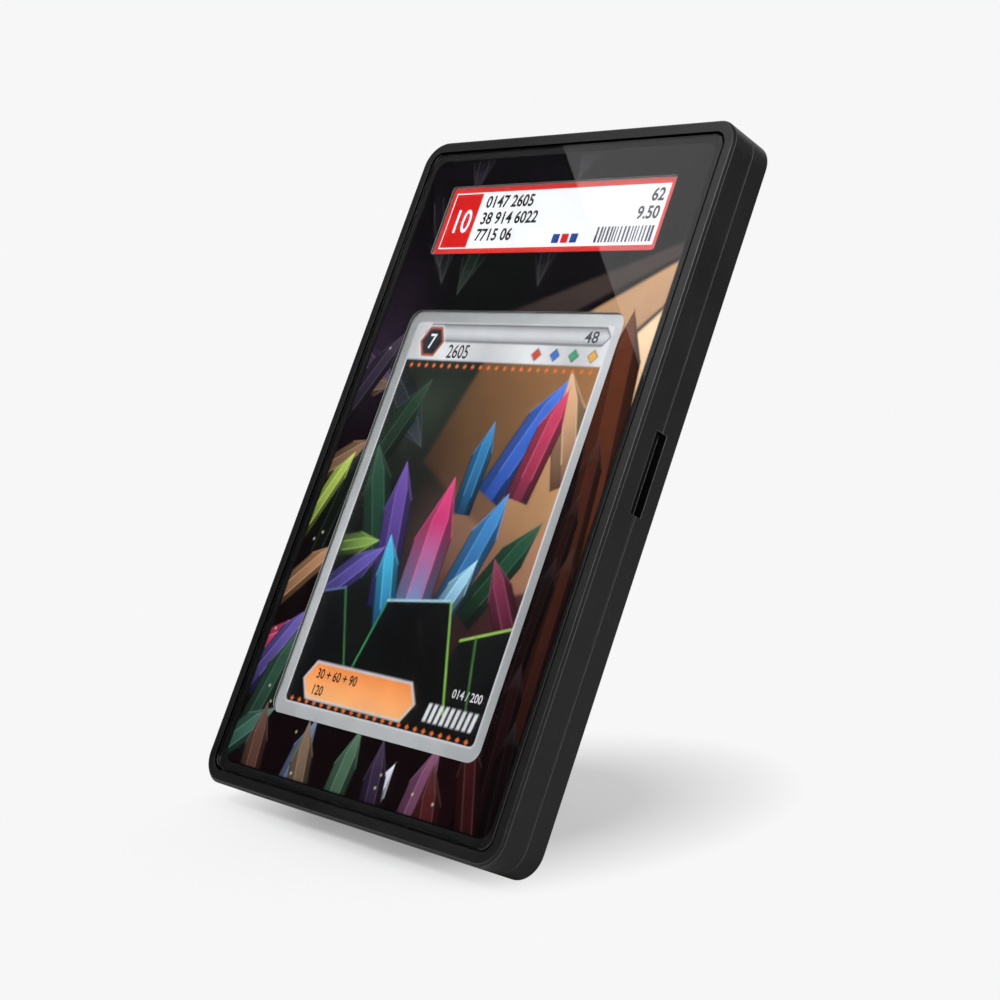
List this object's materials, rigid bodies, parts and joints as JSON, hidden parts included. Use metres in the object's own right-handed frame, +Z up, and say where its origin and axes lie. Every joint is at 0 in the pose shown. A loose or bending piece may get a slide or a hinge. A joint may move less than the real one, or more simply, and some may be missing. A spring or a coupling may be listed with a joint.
{
  "type": "trading card display case",
  "caption": "Two-part magnetic display case that leans back on a fold-out leg and shows a card and its label in a clear holder behind a flush window.",
  "frame": {"origin": "centre of the bounding box on the ground, standing open on its leg", "axes": "+Z up, +X to the viewer's right along the case's width, the window faces -Y and leans back towards +Y by 25.5 degrees"},
  "size_m": [0.09, 0.0712, 0.1341],
  "materials": {
    "case_black": "satin moulded black",
    "window_clear": "clear, polished",
    "adhesive_black": "black adhesive film",
    "print_dark": "printed, satin",
    "magnet_plated": "nickel plated",
    "pad_black": "soft black felt",
    "steel_plain": "plain steel",
    "washer_white": "natural nylon",
    "keeper_black": "satin black",
    "holder_clear": "clear, polished",
    "label_print": "printed, satin",
    "card_print": "printed, satin",
    "leg_black": "satin moulded black",
    "foot_rubber": "matte black"
  },
  "bodies": {
    "rear_half": {"rear_shell": "case_black", "rear_magnets": "magnet_plated", "back_pad": "pad_black", "catch_plate": "steel_plain", "hinge_pin": "steel_plain", "hinge_washers": "washer_white", "pin_keepers": "keeper_black", "keeper_screws": "steel_plain"},
    "cover": {"front_frame": "case_black", "window_panel": "window_clear", "window_tape": "adhesive_black", "art_sheet": "print_dark", "sheet_tape": "adhesive_black", "front_magnets": "magnet_plated"},
    "holder": {"holder_front": "holder_clear", "holder_back": "holder_clear", "holder_label": "label_print", "trading_card": "card_print"},
    "stand": {"stand_leg": "leg_black", "leg_foot": "foot_rubber", "leg_magnet": "magnet_plated"}
  },
  "joints": [
    {"name": "cover_lift", "type": "slide", "parent": "rear_half", "child": "cover", "axis": [0, -0.9026, 0.4305], "range_m": [0, 0.05]},
    {"name": "holder_lift", "type": "slide", "parent": "rear_half", "child": "holder", "axis": [0, -0.9026, 0.4305], "range_m": [0, 0.025]},
    {"name": "stand_fold", "type": "hinge", "parent": "rear_half", "child": "stand", "pos_m": [0, 0.00619, 0.07077], "axis": [-1, 0, 0], "range_deg": [0, 30.13]}
  ],
  "couplings": [
    {"joint": "holder_lift", "follows": "cover_lift", "ratio": 0.5}
  ]
}
